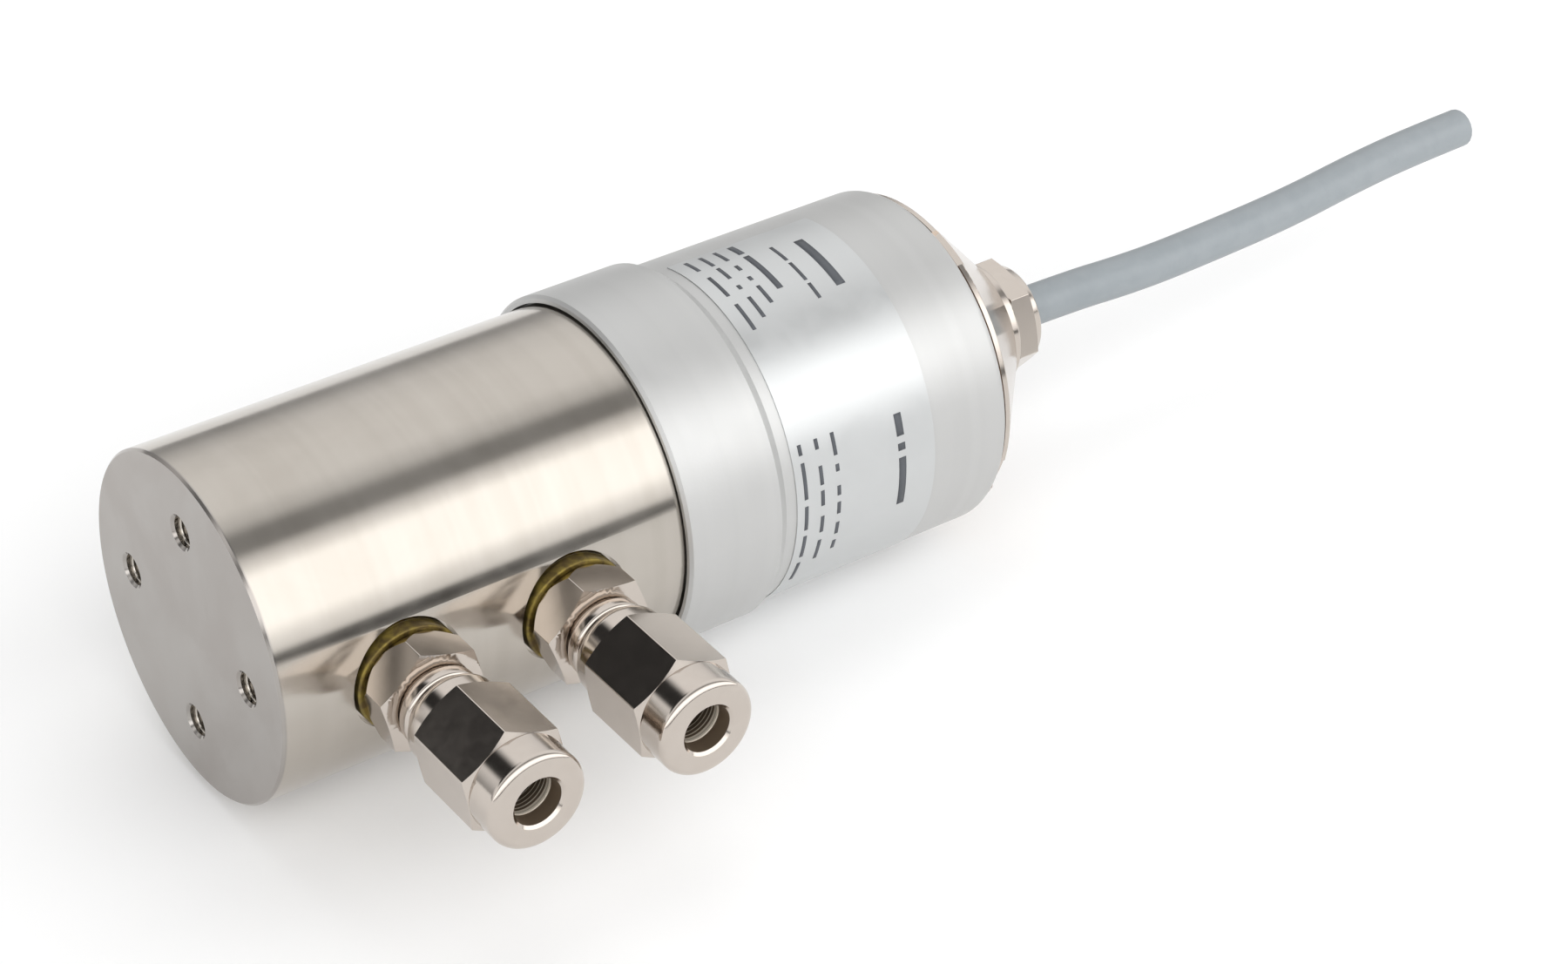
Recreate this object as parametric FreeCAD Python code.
"""Differential pressure transmitter with two compression fittings and a fixed cable.

The origin is the centre of the mounting face, the flat end with four threaded holes.
+Y runs along the round body to the cable, +X is the side with the two pressure ports
and +Z is up. Lengths are in millimetres.
"""
import FreeCAD
import Part
import math
import os
from FreeCAD import Vector

# ---------------------------------------------------------------- driving dimensions
# Process body: one stainless bar with the pressure ways drilled in it
body_diameter = 45.0
body_length = 58.0
body_edge_chamfer = 0.3
spigot_step = 1.5
spigot_length = 12.0

# Mounting holes, M4 on a circle in the end face
mount_circle = 28.0
mount_hole_count = 4
mount_thread = 4.0
mount_hole_depth = 9.0
mount_hole_chamfer = 0.35

# Pressure ports, both on the +X side
front_port_station = 16.9
rear_port_station = 40.0
port_thread = 9.7
port_thread_depth = 8.0
spot_face_cut = 1.6
spot_face_diameter = 15.0
channel_diameter = 3.0

# Sensor pocket, bored in from the spigot's end
pocket_diameter = 22.0
pocket_floor = 26.0

# Ceramic cell and its two face seals
cell_diameter = 20.0
cell_thickness = 6.0
face_gap = 0.2
face_seal_mean = 13.0
face_seal_width = 1.8
face_seal_groove = 1.2

# Pressure plug that closes the pocket behind the cell
plug_length = 15.5
plug_gallery_width = 4.0
plug_gallery_depth = 1.2
plug_seal_width = 2.2
plug_seal_groove = 1.35
plug_land = 1.2

# Retaining ring, contact pins and sensor board
ring_length = 4.5
ring_bore = 18.8
ring_slot_width = 2.5
ring_slot_depth = 1.5
pin_diameter = 0.6
pin_circle = 17.4
pin_count = 4
pin_tail = 1.0
sensor_board_diameter = 20.6
board_thickness = 1.6

# Housing sleeve: thick collar over the body, thinner barrel over the electronics
collar_wall = 0.95
collar_length = 15.0
collar_step = 1.4
lip_length = 2.0
lip_gap = 0.3
barrel_wall = 1.63
barrel_length = 34.8
sleeve_front_chamfer = 0.4
sleeve_end_round = 0.9
cap_bore_step = 0.15
cap_thread_length = 6.0

# O-ring between the spigot and the sleeve
sleeve_seal_width = 2.4
sleeve_seal_groove = 1.6
sleeve_seal_land = 3.0

# Rating label, a film wrapped part of the way round the barrel
label_thickness = 0.12
label_width = 21.4
label_margin = 1.6
label_start_angle = -75.0
label_end_angle = 105.0

# End cap: threaded skirt, low flange with spanner notches, cone and flat top
cap_gasket_thickness = 0.3
cap_flange_setback = 0.78
cap_flange_thickness = 0.7
cap_flange_round = 0.2
cap_top_round = 0.4
cap_cone_length = 10.4
cap_top_diameter = 20.6
cap_wall = 2.0
cap_notch_width = 6.0
cap_notch_depth = 1.0
cap_notch_count = 4
cap_notch_angle = -21.0

# Cable gland
gland_thread = 12.0
gland_flange_diameter = 17.2
gland_flange_thickness = 2.2
gland_upper_length = 2.8
gland_bore = 8.6
gland_cable_bore = 6.0
gland_seal_length = 7.0
gland_seal_rise = 0.3
gland_ring_length = 1.2
gland_nut_flats = 14.0
gland_nut_hex = 3.7
gland_nut_wall = 0.8
gland_nut_taper = 0.5
gland_nut_round = 0.7
gland_nut_hole_gap = 0.3
gland_nut_hole_bevel = 0.25
gland_nut_angle = 50.0

# Cable
cable_diameter = 5.6
core_diameter = 1.3
core_circle = 2.6
core_count = 3
core_straight = 2.0
cable_tail = 14.0

# Tube fittings: body, bonded seal, ferrule and union nut
tube_diameter = 6.0
tube_clearance = 0.05
tube_socket_depth = 8.4
fitting_bore = 4.0
fitting_hex_flats = 13.0
fitting_hex_length = 5.5
fitting_hex_angles = (103.0, 109.0)
hex_bevel = 0.5
hex_edge_round = 0.18
hex_seat_diameter = 12.8
hex_seat_bevel = 2.5
fitting_neck_diameter = 10.8
neck_root_depth = 0.65
neck_root_width = 0.3
neck_round = 0.6
fitting_neck_length = 2.6
fitting_thread = 9.9
fitting_thread_length = 10.4
mouth_diameter = 8.3
mouth_depth = 3.6
bonded_seal_diameter = 14.2
bonded_seal_thickness = 2.0
nut_flats = 13.0
nut_shoulder_diameter = 12.2
nut_shoulder_length = 3.6
nut_shoulder_round = 1.5
nut_bevel = 0.7
nut_end_relief = 0.2
nut_hex_length = 11.2
nut_nose_diameter = 12.9
nut_nose_length = 4.6
nut_nose_round = 1.0
nut_hole = 6.3
nut_hole_chamfer = 0.35
nut_cone_length = 5.4
nut_angles = (99.0, 98.0)
ferrule_length = 5.6
ferrule_setback = 2.8
ferrule_collar = 8.4
ferrule_collar_width = 0.9
ferrule_lip = 0.35

# Board carrier, main board and what stands on it
carrier_thickness = 2.5
carrier_post_width = 6.0
carrier_post_length = 11.5
carrier_post_gap = 1.6
main_board_width = 34.4
main_board_length = 26.5
board_slot_depth = 2.0
carrier_screw_thread = 2.5
carrier_screw_head = 4.5
carrier_screw_height = 1.8
carrier_screw_depth = 6.0
ribbon_width = 7.0
ribbon_thickness = 0.3
ribbon_overlap = 5.0
terminal_width = 15.0
terminal_length = 9.5
terminal_height = 8.0
terminal_setback = 1.0
terminal_hole = 2.0
terminal_hole_depth = 5.0
terminal_screw_head = 3.0
terminal_screw_height = 0.6
screw_slot = 0.6
signal_chip_width = 10.0
signal_chip_length = 7.0
signal_chip_height = 1.8
supply_chip_width = 6.5
supply_chip_height = 2.2
supply_chip_offset = 6.9
capacitor_diameter = 7.0
capacitor_length = 11.0
capacitor_offset = 6.9
chip_spacing = 1.0

# Clearances
running_gap = 0.05
thread_gap = 0.05
fit_gap = 0.1
seal_gap = 0.1
soft_edge = 0.3

# ---------------------------------------------------------------- values that follow
body_radius = body_diameter / 2
spigot_radius = body_radius - spigot_step
spigot_end = body_length + spigot_length
pocket_radius = pocket_diameter / 2
cell_radius = cell_diameter / 2
cell_front = pocket_floor + face_gap
cell_rear = cell_front + cell_thickness
plug_front = cell_rear + face_gap
plug_rear = plug_front + plug_length
ring_rear = plug_rear + ring_length
sensor_board_rear = ring_rear + board_thickness
face_seal_inner = (face_seal_mean - face_seal_width) / 2
face_seal_outer = (face_seal_mean + face_seal_width) / 2
sleeve_front = body_length - lip_length
barrel_front = sleeve_front + collar_length
sleeve_rear = barrel_front + barrel_length
sleeve_bore_radius = spigot_radius + fit_gap / 2
lip_bore_radius = body_radius + lip_gap
collar_radius = lip_bore_radius + collar_wall
barrel_radius = sleeve_bore_radius + barrel_wall
cap_bore_radius = sleeve_bore_radius + cap_bore_step
cap_flange_radius = barrel_radius - cap_flange_setback
cap_seat = sleeve_rear + cap_gasket_thickness
cap_cone_start = cap_seat + cap_flange_thickness
cap_top = cap_cone_start + cap_cone_length
gland_thread_radius = gland_thread / 2
gland_upper_start = cap_top + gland_flange_thickness
gland_upper_end = gland_upper_start + gland_upper_length
gland_ring_start = gland_upper_end + gland_seal_rise
gland_seat = gland_ring_start - gland_seal_length
gland_ring_end = gland_ring_start + gland_ring_length
gland_nut_start = gland_upper_start + fit_gap
gland_nut_end = gland_ring_end + fit_gap + gland_nut_wall
cable_radius = cable_diameter / 2
cable_start = gland_upper_start - cable_tail
tube_radius = tube_diameter / 2 + tube_clearance
port_stations = (front_port_station, rear_port_station)
spot_face_height = body_radius - spot_face_cut
seal_outer_height = spot_face_height + bonded_seal_thickness
fitting_hex_end = seal_outer_height + fitting_hex_length
fitting_neck_end = fitting_hex_end + fitting_neck_length
fitting_end = fitting_neck_end + fitting_thread_length
tube_stop = fitting_end - tube_socket_depth
nut_start = fitting_neck_end
nut_hex_start = nut_start + nut_shoulder_length
nut_hex_end = nut_hex_start + nut_hex_length
nut_end = nut_hex_end + nut_nose_length
ferrule_start = fitting_end - ferrule_setback
ferrule_end = ferrule_start + ferrule_length
carrier_rear = spigot_end + carrier_thickness
main_board_front = carrier_rear
main_board_rear = main_board_front + main_board_length
carrier_screw_place = (pocket_radius + spigot_radius - sleeve_seal_groove) / 2
terminal_rear = main_board_rear - terminal_setback
terminal_pitch = terminal_width / core_count

X_AXIS = Vector(1, 0, 0)
Y_AXIS = Vector(0, 1, 0)
Z_AXIS = Vector(0, 0, 1)
ORIGIN = Vector(0, 0, 0)


# ---------------------------------------------------------------- shape helpers
def rounded_path(points, radii):
    """Edges through points, with a tangent arc of the given radius at each inner point."""
    edges = []
    start = points[0]
    for before, corner, after, radius in zip(points, points[1:], points[2:], radii):
        if radius <= 0:
            edges.append(Part.LineSegment(start, corner).toShape())
            start = corner
            continue
        back = (before - corner).normalize()
        on = (after - corner).normalize()
        half = back.getAngle(on) / 2
        middle = (back + on).normalize()
        enter = corner + back * (radius / math.tan(half))
        leave = corner + on * (radius / math.tan(half))
        top = corner + middle * (radius / math.sin(half) - radius)
        if start.distanceToPoint(enter) > 1e-6:
            edges.append(Part.LineSegment(start, enter).toShape())
        edges.append(Part.Arc(enter, top, leave).toShape())
        start = leave
    edges.append(Part.LineSegment(start, points[-1]).toShape())
    return Part.Wire(edges)


def outline_face(outline, place):
    """Face from (station, radius) or (station, radius, corner rounding) entries."""
    points = [place(entry[0], entry[1]) for entry in outline]
    radii = [entry[2] if len(entry) > 2 else 0 for entry in outline]
    closed = points + points[:1]
    return Part.Face(rounded_path(closed, radii[1:] + [0]))


def turned(outline):
    """Piece turned about the body's axis; stations run along +Y."""
    face = outline_face(outline, lambda station, radius: Vector(radius, station, 0))
    return face.revolve(ORIGIN, Y_AXIS, 360)


def turned_on_port(outline, port_y):
    """Piece turned about a port's axis; stations run along +X."""
    face = outline_face(outline, lambda station, radius: Vector(station, port_y + radius, 0))
    return face.revolve(Vector(0, port_y, 0), X_AXIS, 360)


def hexagon(flats, start, length, axis, corner_angle=0.0):
    """Hexagonal prism along an axis, from a start point; the first corner is at an angle."""
    corner_radius = flats / math.sqrt(3)
    if axis == X_AXIS:
        first, second = Y_AXIS, Z_AXIS
    else:
        first, second = X_AXIS, Z_AXIS
    corners = []
    for step in range(7):
        angle = math.radians(corner_angle + 60 * step)
        across = first * (corner_radius * math.cos(angle))
        corners.append(start + across + second * (corner_radius * math.sin(angle)))
    return Part.Face(Part.makePolygon(corners)).extrude(axis * length)


def chamfered_hexagon(flats, start, end, centre, axis, corner_angle, start_cone, end_cone):
    """Hexagon with eased edges; each cone is (end diameter, length) of a turned chamfer."""
    widest = 1.2 * flats / 2
    start_radius, start_length = start_cone[0] / 2, start_cone[1]
    end_radius, end_length = end_cone[0] / 2, end_cone[1]
    outline = [(start, 0), (start, start_radius), (start + start_length, widest),
               (end - end_length, widest), (end, end_radius), (end, 0)]
    prism = hexagon(flats, centre + axis * start, end - start, axis, corner_angle)
    along = [edge for edge in prism.Edges
             if abs(edge.tangentAt(edge.FirstParameter).dot(axis)) > 0.99]
    prism = prism.makeFillet(hex_edge_round, along)
    if axis == X_AXIS:
        return prism.common(turned_on_port(outline, centre.y))
    return prism.common(turned(outline))


def box_between(low, high):
    """Box from its lowest corner to its highest corner."""
    size = high - low
    return Part.makeBox(size.x, size.y, size.z, low)


def drill(start, direction, radius, depth):
    return Part.makeCylinder(radius, depth, start, direction)


def polar(radius, angle, y):
    """Point at an angle round the body's axis, measured from +X towards +Z."""
    turn = math.radians(angle)
    return Vector(radius * math.cos(turn), y, radius * math.sin(turn))


def seal_ring(front, rear, inner, outer):
    """Squeezed O-ring: its corners stay round, its faces are pressed flat."""
    corner = 0.3 * min(rear - front, outer - inner)
    return turned([(front, (inner + outer) / 2), (front, outer, corner), (rear, outer, corner),
                   (rear, inner, corner), (front, inner, corner)])


def tube_along(points, radius, bends):
    """Solid rod swept along straight runs that are joined by tangent arcs."""
    path = rounded_path(points, bends)
    start_direction = (points[1] - points[0]).normalize()
    section = Part.Wire(Part.makeCircle(radius, points[0], start_direction))
    return path.makePipeShell([section], True, False)


def widest_bends(points):
    """Largest arc radius that each inner point's two runs allow."""
    bends = []
    for before, corner, after in zip(points, points[1:], points[2:]):
        run_in = corner - before
        run_out = after - corner
        turn = run_in.getAngle(run_out)
        bends.append(0.45 * min(run_in.Length, run_out.Length) / math.tan(turn / 2))
    return bends


# ---------------------------------------------------------------- process body
def process_body():
    groove_start = body_length + sleeve_seal_land
    groove_end = groove_start + sleeve_seal_width
    groove_radius = spigot_radius - sleeve_seal_groove
    body = turned([
        (0, 0), (0, body_radius - body_edge_chamfer), (body_edge_chamfer, body_radius),
        (body_length, body_radius), (body_length, spigot_radius),
        (groove_start, spigot_radius), (groove_start, groove_radius),
        (groove_end, groove_radius), (groove_end, spigot_radius),
        (spigot_end, spigot_radius), (spigot_end, pocket_radius),
        (pocket_floor, pocket_radius), (pocket_floor, face_seal_outer),
        (pocket_floor - face_seal_groove, face_seal_outer),
        (pocket_floor - face_seal_groove, face_seal_inner),
        (pocket_floor, face_seal_inner), (pocket_floor, 0)])
    cuts = []
    for step in range(mount_hole_count):
        centre = polar(mount_circle / 2, 360 / mount_hole_count * step, 0)
        cuts.append(drill(centre, Y_AXIS, mount_thread / 2, mount_hole_depth))
        wide = mount_thread / 2 + mount_hole_chamfer
        cuts.append(Part.makeCone(wide, mount_thread / 2, mount_hole_chamfer, centre, Y_AXIS))
    socket_floor = spot_face_height - port_thread_depth
    for port_y in port_stations:
        spot = Vector(spot_face_height, port_y, 0)
        cuts.append(drill(spot, X_AXIS, spot_face_diameter / 2, body_radius - spot_face_height + 1))
        cuts.append(drill(Vector(socket_floor, port_y, 0), X_AXIS, port_thread / 2, port_thread_depth))
    channel = channel_diameter / 2
    cuts.append(drill(Vector(-channel, front_port_station, 0), X_AXIS, channel,
                      socket_floor + 2 * channel))
    cuts.append(drill(Vector(0, front_port_station, 0), Y_AXIS, channel,
                      pocket_floor - front_port_station))
    inside = pocket_radius - 1
    cuts.append(drill(Vector(inside, rear_port_station, 0), X_AXIS, channel, socket_floor - inside + 1))
    for side in (-1, 1):
        start = Vector(0, spigot_end, side * carrier_screw_place)
        cuts.append(drill(start, Vector(0, -1, 0), carrier_screw_thread / 2, carrier_screw_depth + 1))
    return body.cut(cuts)


# ---------------------------------------------------------------- sensor and its closure
def sensor_cell():
    return turned([(cell_front, 0), (cell_front, cell_radius), (cell_rear, cell_radius), (cell_rear, 0)])


def cell_front_seal():
    return seal_ring(pocket_floor - face_seal_groove, cell_front,
                     face_seal_inner + seal_gap, face_seal_outer - seal_gap)


def cell_rear_seal():
    return seal_ring(cell_rear, plug_front + face_seal_groove,
                     face_seal_inner + seal_gap, face_seal_outer - seal_gap)


def plug_seal_starts():
    """Front edges of the plug's two O-ring grooves, one on each side of the gallery."""
    gallery_front = rear_port_station - plug_gallery_width / 2
    gallery_rear = rear_port_station + plug_gallery_width / 2
    return gallery_front - plug_land - plug_seal_width, gallery_rear + plug_land


def pressure_plug():
    plug_radius = pocket_radius - running_gap
    groove_radius = pocket_radius - plug_seal_groove
    gallery_radius = plug_radius - plug_gallery_depth
    plug = turned([
        (plug_front, 0), (plug_front, face_seal_inner),
        (plug_front + face_seal_groove, face_seal_inner),
        (plug_front + face_seal_groove, face_seal_outer),
        (plug_front, face_seal_outer), (plug_front, plug_radius),
        (plug_rear, plug_radius), (plug_rear, 0)])
    cuts = [turned([
        (rear_port_station - plug_gallery_width / 2, gallery_radius),
        (rear_port_station - plug_gallery_width / 2, pocket_radius),
        (rear_port_station + plug_gallery_width / 2, pocket_radius),
        (rear_port_station + plug_gallery_width / 2, gallery_radius)])]
    for start in plug_seal_starts():
        cuts.append(turned([(start, groove_radius), (start, pocket_radius),
                            (start + plug_seal_width, pocket_radius),
                            (start + plug_seal_width, groove_radius)]))
    cross_way = channel_diameter / 3
    cuts.append(drill(Vector(0, rear_port_station, -pocket_radius), Z_AXIS, cross_way, pocket_diameter))
    cuts.append(drill(Vector(0, plug_front, 0), Y_AXIS, cross_way, rear_port_station - plug_front))
    for place in pin_places(plug_front):
        cuts.append(drill(place, Y_AXIS, pin_diameter / 2 + fit_gap, plug_length))
    return plug.cut(cuts)


def plug_seals():
    groove_radius = pocket_radius - plug_seal_groove
    rings = [seal_ring(start + seal_gap, start + plug_seal_width - seal_gap,
                       groove_radius + seal_gap, pocket_radius - seal_gap)
             for start in plug_seal_starts()]
    return Part.makeCompound(rings)


def retaining_ring():
    ring_radius = pocket_radius - thread_gap
    ring = turned([(plug_rear, ring_bore / 2), (plug_rear, ring_radius),
                   (ring_rear, ring_radius), (ring_rear, ring_bore / 2)])
    half_slot = ring_slot_width / 2
    slot = box_between(Vector(-pocket_radius, ring_rear - ring_slot_depth, -half_slot),
                       Vector(pocket_radius, ring_rear, half_slot))
    return ring.cut(slot)


def pin_places(y):
    return [polar(pin_circle / 2, 45 + 360 / pin_count * step, y) for step in range(pin_count)]


def contact_pins():
    length = sensor_board_rear + pin_tail - cell_rear
    return Part.makeCompound([drill(place, Y_AXIS, pin_diameter / 2, length)
                              for place in pin_places(cell_rear)])


def sensor_board():
    board = Part.makeCylinder(sensor_board_diameter / 2, board_thickness,
                              Vector(0, ring_rear, 0), Y_AXIS)
    holes = [drill(place, Y_AXIS, pin_diameter / 2 + fit_gap, board_thickness)
             for place in pin_places(ring_rear)]
    return board.cut(holes)


# ---------------------------------------------------------------- housing
def housing_sleeve():
    return turned([
        (sleeve_front, lip_bore_radius), (sleeve_front, collar_radius - sleeve_front_chamfer),
        (sleeve_front + sleeve_front_chamfer, collar_radius),
        (barrel_front - collar_step, collar_radius),
        (barrel_front, barrel_radius),
        (sleeve_rear, barrel_radius, sleeve_end_round), (sleeve_rear, cap_bore_radius),
        (sleeve_rear - cap_thread_length, cap_bore_radius),
        (sleeve_rear - cap_thread_length, sleeve_bore_radius),
        (body_length, sleeve_bore_radius), (body_length, lip_bore_radius)])


def sleeve_seal():
    start = body_length + sleeve_seal_land
    return seal_ring(start + seal_gap, start + sleeve_seal_width - seal_gap,
                     spigot_radius - sleeve_seal_groove + seal_gap, sleeve_bore_radius - seal_gap)


def rating_label():
    """Film between two angles round the barrel, on its surface."""
    front = barrel_front + label_margin
    inner = barrel_radius
    outer = barrel_radius + label_thickness
    strip = Part.makePolygon([Vector(inner, front, 0), Vector(outer, front, 0),
                              Vector(outer, front + label_width, 0),
                              Vector(inner, front + label_width, 0), Vector(inner, front, 0)])
    face = Part.Face(strip)
    # A turn about -Y carries +X towards +Z, the way the label's angles are counted.
    face.rotate(ORIGIN, Vector(0, -1, 0), label_start_angle)
    return face.revolve(ORIGIN, Vector(0, -1, 0), label_end_angle - label_start_angle)


def cap_gasket():
    outer = cap_flange_radius - cap_flange_round
    inner = cap_bore_radius + fit_gap
    return turned([(sleeve_rear, inner), (sleeve_rear, outer), (cap_seat, outer), (cap_seat, inner)])


def end_cap():
    skirt_radius = cap_bore_radius - thread_gap
    inside_radius = skirt_radius - cap_wall
    top_radius = cap_top_diameter / 2
    floor_inside = cap_top - 2 * cap_wall
    floor_radius = gland_thread_radius + cap_wall
    skirt_start = cap_seat - cap_thread_length
    cap = turned([
        (skirt_start, inside_radius), (skirt_start, skirt_radius), (cap_seat, skirt_radius),
        (cap_seat, cap_flange_radius), (cap_cone_start, cap_flange_radius, cap_flange_round),
        (cap_top, top_radius, cap_top_round), (cap_top, gland_thread_radius),
        (floor_inside, gland_thread_radius), (floor_inside, floor_radius),
        (cap_seat, inside_radius)])
    notches = []
    for step in range(cap_notch_count):
        half = cap_notch_width / 2
        notch = box_between(Vector(cap_flange_radius - cap_notch_depth, cap_seat, -half),
                            Vector(cap_flange_radius + 1, cap_cone_start + cap_wall, half))
        angle = cap_notch_angle + 360 / cap_notch_count * step
        notch.rotate(ORIGIN, Vector(0, -1, 0), angle)
        notches.append(notch)
    return cap.cut(notches)


# ---------------------------------------------------------------- cable gland
def gland_body():
    shank_radius = gland_thread_radius - thread_gap
    flange_radius = gland_flange_diameter / 2
    shank_start = cap_top - 2 * cap_wall
    floor = gland_seat
    return turned([
        (shank_start, gland_cable_bore / 2), (shank_start, shank_radius), (cap_top, shank_radius),
        (cap_top, flange_radius, soft_edge), (gland_upper_start, flange_radius, soft_edge),
        (gland_upper_start, shank_radius), (gland_upper_end, shank_radius),
        (gland_upper_end, gland_bore / 2), (floor, gland_bore / 2), (floor, gland_cable_bore / 2)])


def gland_seal():
    outer = gland_bore / 2 - fit_gap
    inner = cable_radius + seal_gap
    return turned([(gland_seat, inner), (gland_seat, outer, soft_edge),
                   (gland_ring_start, outer, 2 * soft_edge), (gland_ring_start, inner)])


def gland_slip_ring():
    outer = gland_bore / 2 - fit_gap
    inner = cable_radius + 2 * fit_gap
    start = gland_ring_start + running_gap
    return turned([(start, inner), (start, outer), (gland_ring_end, outer, soft_edge),
                   (gland_ring_end, inner)])


def gland_nut():
    flat_radius = gland_nut_flats / 2
    thread_radius = gland_thread_radius + thread_gap
    hex_end = gland_nut_start + gland_nut_hex
    hole_radius = cable_radius + gland_nut_hole_gap
    inner_end = gland_nut_end - gland_nut_wall
    cone = (gland_nut_flats, hex_bevel)
    grip = chamfered_hexagon(gland_nut_flats, gland_nut_start, hex_end, ORIGIN, Y_AXIS,
                             gland_nut_angle, cone, cone)
    crown = turned([
        (hex_end, 0), (hex_end, flat_radius), (gland_nut_end, flat_radius - gland_nut_taper,
                                               gland_nut_round), (gland_nut_end, 0)])
    inside = turned([
        (gland_nut_start, 0), (gland_nut_start, thread_radius), (inner_end, thread_radius),
        (inner_end, hole_radius), (gland_nut_end - gland_nut_hole_bevel, hole_radius),
        (gland_nut_end, hole_radius + gland_nut_hole_bevel), (gland_nut_end, 0)])
    return grip.fuse(crown).cut(inside).removeSplitter()


# ---------------------------------------------------------------- cable
def cable_route():
    """Points of the free cable: straight out of the gland, then a slow sag and sway."""
    out = Vector(0, gland_nut_end, 0)
    return [Vector(0, cable_start, 0), out + Vector(0, 7.4, -0.1), out + Vector(1.0, 21.1, -0.4),
            out + Vector(0.2, 35.6, -0.8), out + Vector(-1.0, 50.4, -1.2),
            out + Vector(-3.5, 65.6, -1.7), out + Vector(-5.0, 77.3, -2.2),
            out + Vector(-5.8, 88.1, -2.7)]


def cable():
    points = cable_route()
    bends = widest_bends(points)
    print("cable bend radii", [round(bend, 1) for bend in bends])
    solid = tube_along(points, cable_radius, bends)
    length = rounded_path(points, bends).Length
    print("cable length", round(length, 2), "volume ratio",
          round(solid.Volume / (math.pi * cable_radius ** 2 * length), 5))
    return solid


def cable_cores():
    """Three insulated wires from the stripped end of the cable to the terminals."""
    wires = []
    entry = terminal_rear - terminal_hole_depth
    wire_height = board_thickness / 2 + terminal_height / 2
    for step, lane in enumerate(terminal_lanes()):
        place = polar(core_circle / 2, 210 - 360 / core_count * step, cable_start)
        points = [place, Vector(place.x, cable_start - core_straight, place.z),
                  Vector(lane, terminal_rear + core_straight, wire_height),
                  Vector(lane, entry, wire_height)]
        wires.append(tube_along(points, core_diameter / 2, widest_bends(points)))
    return Part.makeCompound(wires)


# ---------------------------------------------------------------- tube fittings
def port_fitting(port_y, corner_angle):
    shank_start = spot_face_height - port_thread_depth + face_gap
    shank_radius = port_thread / 2 - thread_gap
    thread_radius = fitting_thread / 2
    core_radius = hex_seat_diameter / 2 - 1
    neck_radius = fitting_neck_diameter / 2
    root_radius = neck_radius - neck_root_depth
    bore = fitting_bore / 2
    grip = chamfered_hexagon(fitting_hex_flats, seal_outer_height, fitting_hex_end,
                             Vector(0, port_y, 0), X_AXIS, corner_angle,
                             (hex_seat_diameter, hex_seat_bevel), (fitting_hex_flats, hex_bevel))
    stem = turned_on_port([
        (shank_start, 0), (shank_start, shank_radius), (seal_outer_height, shank_radius),
        (seal_outer_height, core_radius), (fitting_hex_end, core_radius),
        (fitting_hex_end, root_radius), (fitting_hex_end + neck_root_width, root_radius),
        (fitting_hex_end + neck_root_width, neck_radius, neck_round),
        (fitting_neck_end - face_gap, neck_radius, neck_round),
        (fitting_neck_end - face_gap, root_radius),
        (fitting_neck_end + neck_root_width, root_radius),
        (fitting_neck_end + neck_root_width, thread_radius), (fitting_end, thread_radius),
        (fitting_end, 0)], port_y)
    inside = turned_on_port([
        (shank_start, 0), (shank_start, bore), (tube_stop, bore), (tube_stop, tube_radius),
        (fitting_end - mouth_depth, tube_radius), (fitting_end, mouth_diameter / 2),
        (fitting_end, 0)], port_y)
    return grip.fuse(stem).cut(inside).removeSplitter()


def port_seal(port_y):
    """Bonded washer between the spot face and the fitting's hexagon."""
    outer = bonded_seal_diameter / 2
    inner = port_thread / 2 + fit_gap
    return turned_on_port([(spot_face_height, inner), (spot_face_height, outer, soft_edge),
                           (seal_outer_height, outer, soft_edge), (seal_outer_height, inner)], port_y)


def port_ferrule(port_y):
    """Double-coned compression ring that slides out with the nut."""
    bore = tube_radius + running_gap
    slope = (mouth_diameter / 2 - tube_radius) / mouth_depth
    reach = fitting_end - ferrule_start
    front_radius = mouth_diameter / 2 - slope * reach - 2 * running_gap
    collar = ferrule_collar / 2
    collar_start = fitting_end + face_gap
    return turned_on_port([
        (ferrule_start, bore), (ferrule_start, front_radius),
        (fitting_end, mouth_diameter / 2 - 2 * running_gap), (collar_start, collar),
        (collar_start + ferrule_collar_width - fit_gap, collar),
        (ferrule_end, bore + ferrule_lip), (ferrule_end, bore)], port_y)


def port_nut(port_y, corner_angle):
    shoulder_radius = nut_shoulder_diameter / 2
    nose_radius = nut_nose_diameter / 2
    thread_radius = fitting_thread / 2 + thread_gap
    hole_radius = nut_hole / 2
    cone_start = fitting_end + face_gap + ferrule_collar_width
    cone = (nut_flats - nut_end_relief, nut_bevel)
    grip = chamfered_hexagon(nut_flats, nut_hex_start, nut_hex_end, Vector(0, port_y, 0), X_AXIS,
                             corner_angle, cone, cone)
    ends = turned_on_port([
        (nut_start, 0), (nut_start, shoulder_radius, nut_shoulder_round),
        (nut_hex_start, shoulder_radius), (nut_hex_end, shoulder_radius),
        (nut_hex_end, nose_radius), (nut_end, nose_radius, nut_nose_round), (nut_end, 0)], port_y)
    inside = turned_on_port([
        (nut_start, 0), (nut_start, thread_radius), (cone_start, thread_radius),
        (cone_start + nut_cone_length, hole_radius), (nut_end - nut_hole_chamfer, hole_radius),
        (nut_end, hole_radius + nut_hole_chamfer), (nut_end, 0)], port_y)
    return grip.fuse(ends).cut(inside).removeSplitter()


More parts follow.
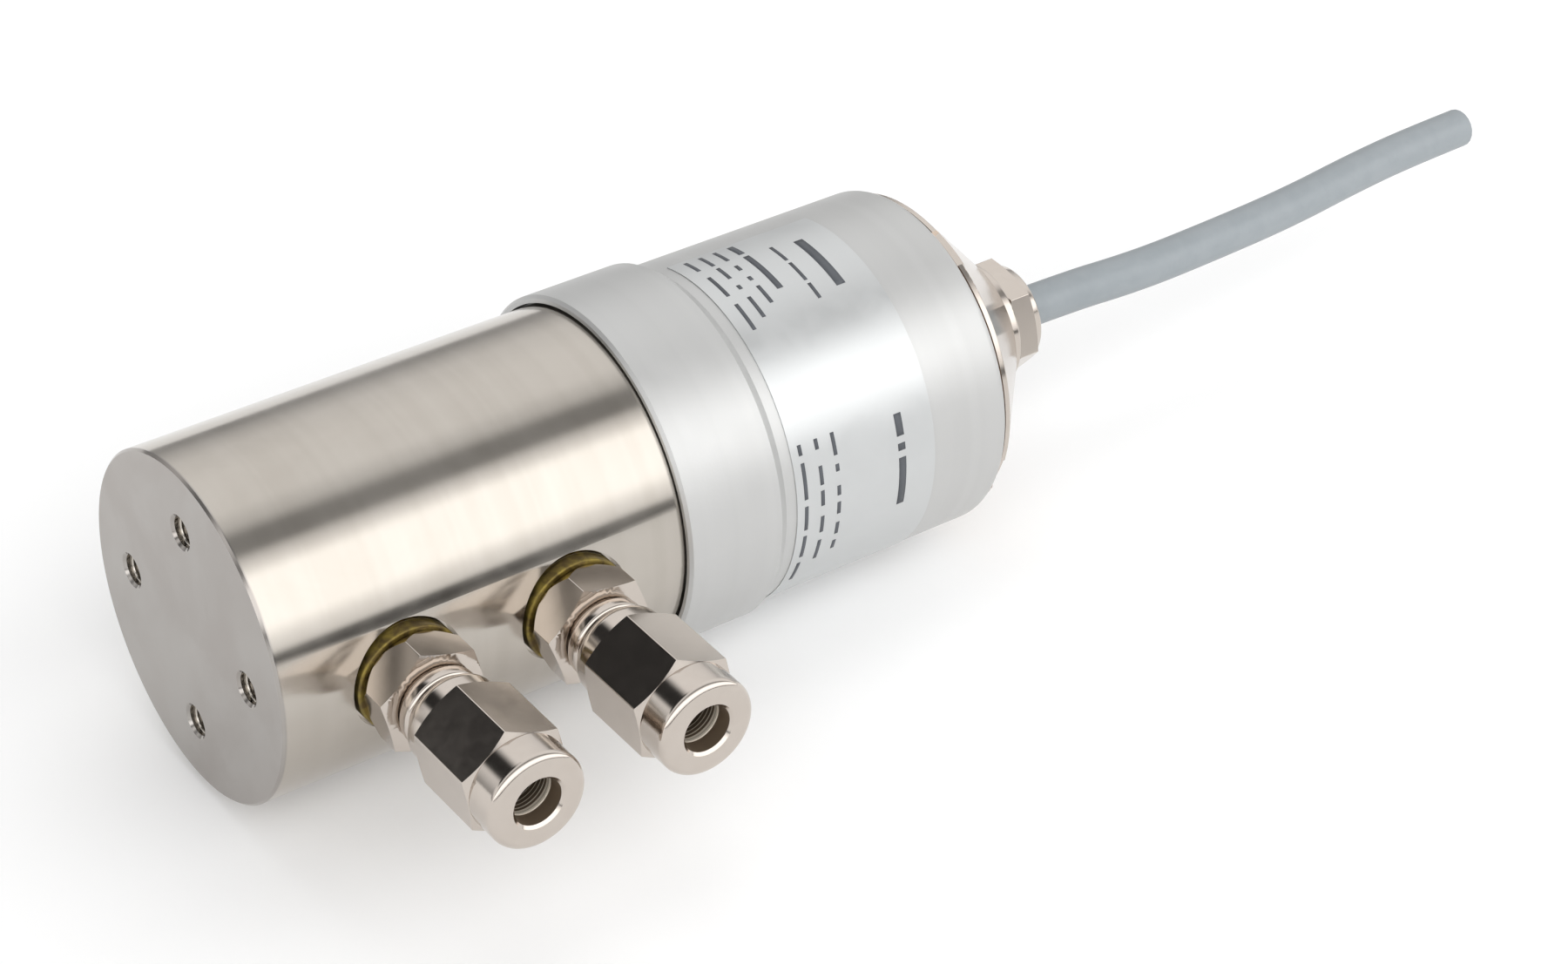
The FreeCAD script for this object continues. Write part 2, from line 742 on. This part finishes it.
# ---------------------------------------------------------------- electronics
def board_carrier():
    """Moulded ring on the spigot's end, with two slotted posts for the main board."""
    ring = turned([(spigot_end, pocket_radius), (spigot_end, sleeve_bore_radius - fit_gap),
                   (carrier_rear, sleeve_bore_radius - fit_gap), (carrier_rear, pocket_radius)])
    half_width = carrier_post_width / 2
    inner = main_board_width / 2 - board_slot_depth
    outer = math.sqrt((sleeve_bore_radius - carrier_post_gap) ** 2 - half_width ** 2)
    posts = []
    for side in (-1, 1):
        low_x, high_x = sorted((side * inner, side * outer))
        posts.append(box_between(Vector(low_x, carrier_rear, -half_width),
                                 Vector(high_x, carrier_rear + carrier_post_length, half_width)))
    half_board = board_thickness / 2 + running_gap
    half_length = main_board_width / 2 + running_gap
    slot = box_between(Vector(-half_length, carrier_rear, -half_board),
                       Vector(half_length, carrier_rear + carrier_post_length, half_board))
    holes = [drill(Vector(0, spigot_end, side * carrier_screw_place), Y_AXIS,
                   carrier_screw_thread / 2 + fit_gap, carrier_thickness) for side in (-1, 1)]
    return ring.fuse(posts).cut([slot] + holes).removeSplitter()


def carrier_screws():
    screws = []
    for side in (-1, 1):
        place = Vector(0, spigot_end - carrier_screw_depth, side * carrier_screw_place)
        shank_length = carrier_screw_depth + carrier_thickness
        shank = drill(place, Y_AXIS, carrier_screw_thread / 2 - thread_gap, shank_length)
        seat = Vector(0, carrier_rear, side * carrier_screw_place)
        head = drill(seat, Y_AXIS, carrier_screw_head / 2, carrier_screw_height)
        half = carrier_screw_head / 2
        top = carrier_rear + carrier_screw_height
        slot = box_between(Vector(-half, top - carrier_screw_height / 2, seat.z - screw_slot / 2),
                           Vector(half, top, seat.z + screw_slot / 2))
        screws.append(shank.fuse(head).cut(slot).removeSplitter())
    return Part.makeCompound(screws)


def main_board():
    half_width = main_board_width / 2
    half_board = board_thickness / 2
    return box_between(Vector(-half_width, main_board_front, -half_board),
                       Vector(half_width, main_board_rear, half_board))


def on_board(size, centre_x, low_y, side=1):
    """Block of (width, length, height) that stands on one face of the main board."""
    width, length, height = size
    near = side * board_thickness / 2
    far = near + side * height
    low_z, high_z = sorted((near, far))
    return box_between(Vector(centre_x - width / 2, low_y, low_z),
                       Vector(centre_x + width / 2, low_y + length, high_z))


def sensor_ribbon():
    """Flat flexible lead from the sensor board to the main board."""
    length = main_board_front + ribbon_overlap - sensor_board_rear
    return on_board((ribbon_width, length, ribbon_thickness), 0, sensor_board_rear)


def signal_chip():
    size = (signal_chip_width, signal_chip_length, signal_chip_height)
    return on_board(size, 0, main_board_front + ribbon_overlap + chip_spacing)


def supply_chip():
    size = (supply_chip_width, supply_chip_width, supply_chip_height)
    return on_board(size, -supply_chip_offset, main_board_front + chip_spacing, -1)


def filter_capacitor():
    centre = Vector(capacitor_offset, main_board_front + chip_spacing,
                    -board_thickness / 2 - capacitor_diameter / 2)
    return Part.makeCylinder(capacitor_diameter / 2, capacitor_length, centre, Y_AXIS)


def terminal_lanes():
    return [(step - (core_count - 1) / 2) * terminal_pitch for step in range(core_count)]


def terminal_block():
    size = (terminal_width, terminal_length, terminal_height)
    block = on_board(size, 0, terminal_rear - terminal_length)
    wire_height = board_thickness / 2 + terminal_height / 2
    top = board_thickness / 2 + terminal_height
    middle = terminal_rear - terminal_length / 2
    cuts = []
    for lane in terminal_lanes():
        cuts.append(drill(Vector(lane, terminal_rear - terminal_hole_depth, wire_height), Y_AXIS,
                          terminal_hole / 2, terminal_hole_depth))
        cuts.append(drill(Vector(lane, middle, top - terminal_screw_height), Z_AXIS,
                          terminal_screw_head / 2 + fit_gap, terminal_screw_height))
    return block.cut(cuts)


def terminal_screws():
    top = board_thickness / 2 + terminal_height
    middle = terminal_rear - terminal_length / 2
    screws = []
    for lane in terminal_lanes():
        head = drill(Vector(lane, middle, top - terminal_screw_height), Z_AXIS,
                     terminal_screw_head / 2, terminal_screw_height)
        slot_floor = top - terminal_screw_height / 2
        slot = box_between(Vector(lane - terminal_screw_head, middle - screw_slot / 2, slot_floor),
                           Vector(lane + terminal_screw_head, middle + screw_slot / 2, top))
        screws.append(head.cut(slot))
    return Part.makeCompound(screws)


# ---------------------------------------------------------------- build and write
nodes = {
    "process_body": process_body(),
    "sensor_cell": sensor_cell(),
    "cell_front_seal": cell_front_seal(),
    "cell_rear_seal": cell_rear_seal(),
    "pressure_plug": pressure_plug(),
    "plug_seals": plug_seals(),
    "retaining_ring": retaining_ring(),
    "contact_pins": contact_pins(),
    "sensor_board": sensor_board(),
    "sensor_ribbon": sensor_ribbon(),
    "housing_sleeve": housing_sleeve(),
    "sleeve_seal": sleeve_seal(),
    "rating_label": rating_label(),
    "cap_gasket": cap_gasket(),
    "end_cap": end_cap(),
    "gland_body": gland_body(),
    "gland_seal": gland_seal(),
    "gland_slip_ring": gland_slip_ring(),
    "gland_nut": gland_nut(),
    "cable": cable(),
    "cable_cores": cable_cores(),
    "board_carrier": board_carrier(),
    "carrier_screws": carrier_screws(),
    "main_board": main_board(),
    "signal_chip": signal_chip(),
    "supply_chip": supply_chip(),
    "filter_capacitor": filter_capacitor(),
    "terminal_block": terminal_block(),
    "terminal_screws": terminal_screws(),
}
for number, port_y in enumerate(port_stations, start=1):
    nodes[f"port_{number}_fitting"] = port_fitting(port_y, fitting_hex_angles[number - 1])
    nodes[f"port_{number}_seal"] = port_seal(port_y)
    nodes[f"port_{number}_ferrule"] = port_ferrule(port_y)
    nodes[f"port_{number}_nut"] = port_nut(port_y, nut_angles[number - 1])

os.makedirs("parts", exist_ok=True)
for name, shape in nodes.items():
    if not shape.isValid() or shape.Volume <= 0:
        print("check", name, shape.isValid(), round(shape.Volume, 3))
    shape.exportStep(f"parts/{name}.step")
print(len(nodes), "nodes written")
